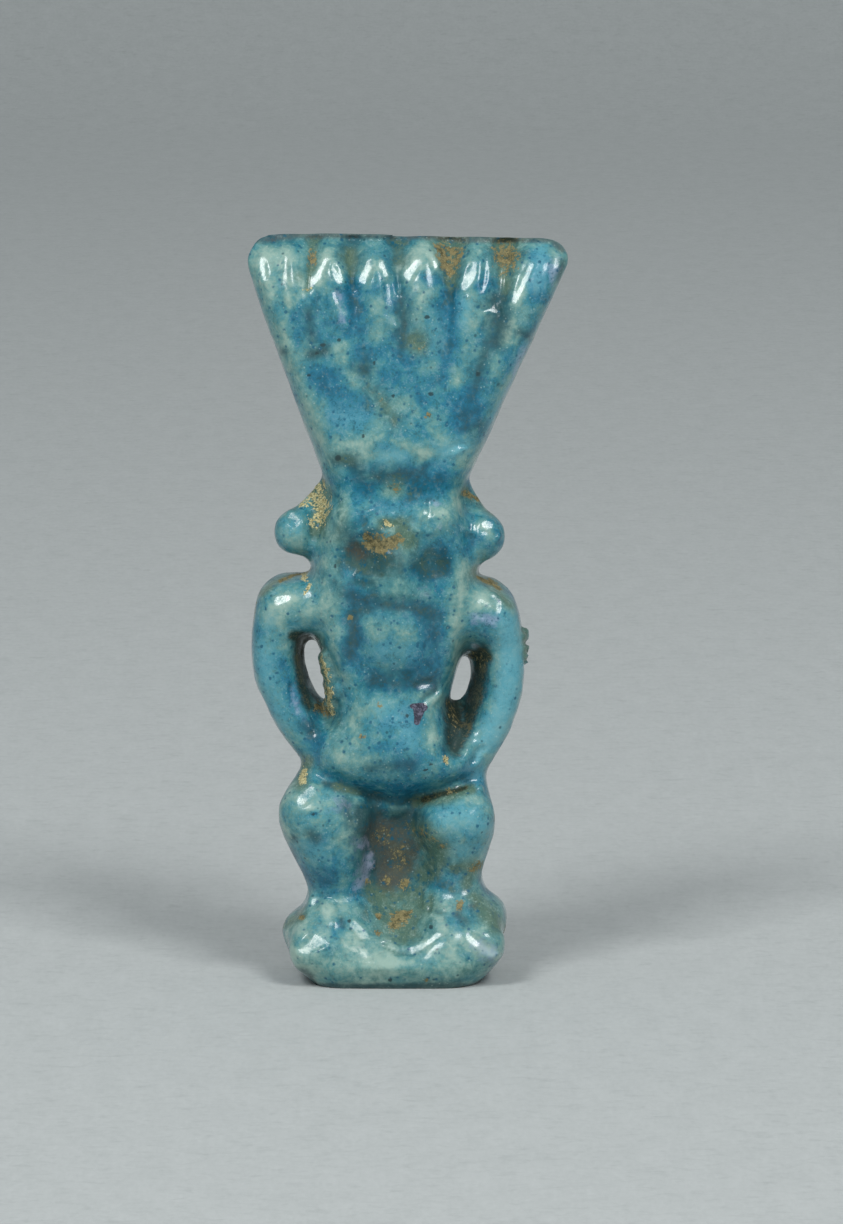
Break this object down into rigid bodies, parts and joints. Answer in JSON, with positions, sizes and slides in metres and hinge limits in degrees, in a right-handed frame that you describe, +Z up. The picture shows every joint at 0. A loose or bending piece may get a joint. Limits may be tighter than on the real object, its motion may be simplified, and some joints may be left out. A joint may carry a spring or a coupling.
{
  "type": "deity amulet",
  "caption": "Small glazed faience amulet of a squat bandy-legged dwarf god with a lion mask and a tall plume crown, standing on its own low base, with a pierced lug behind.",
  "frame": {"origin": "centre of the flat underside of the base", "axes": "+Z up from the base to the plumes, the figure's front faces -Y, +X to the right as seen from the front"},
  "size_m": [0.0145, 0.0086, 0.034],
  "materials": {
    "turquoise_glaze": "gloss"
  },
  "bodies": {
    "root": {"amulet": "turquoise_glaze"}
  },
  "joints": []
}
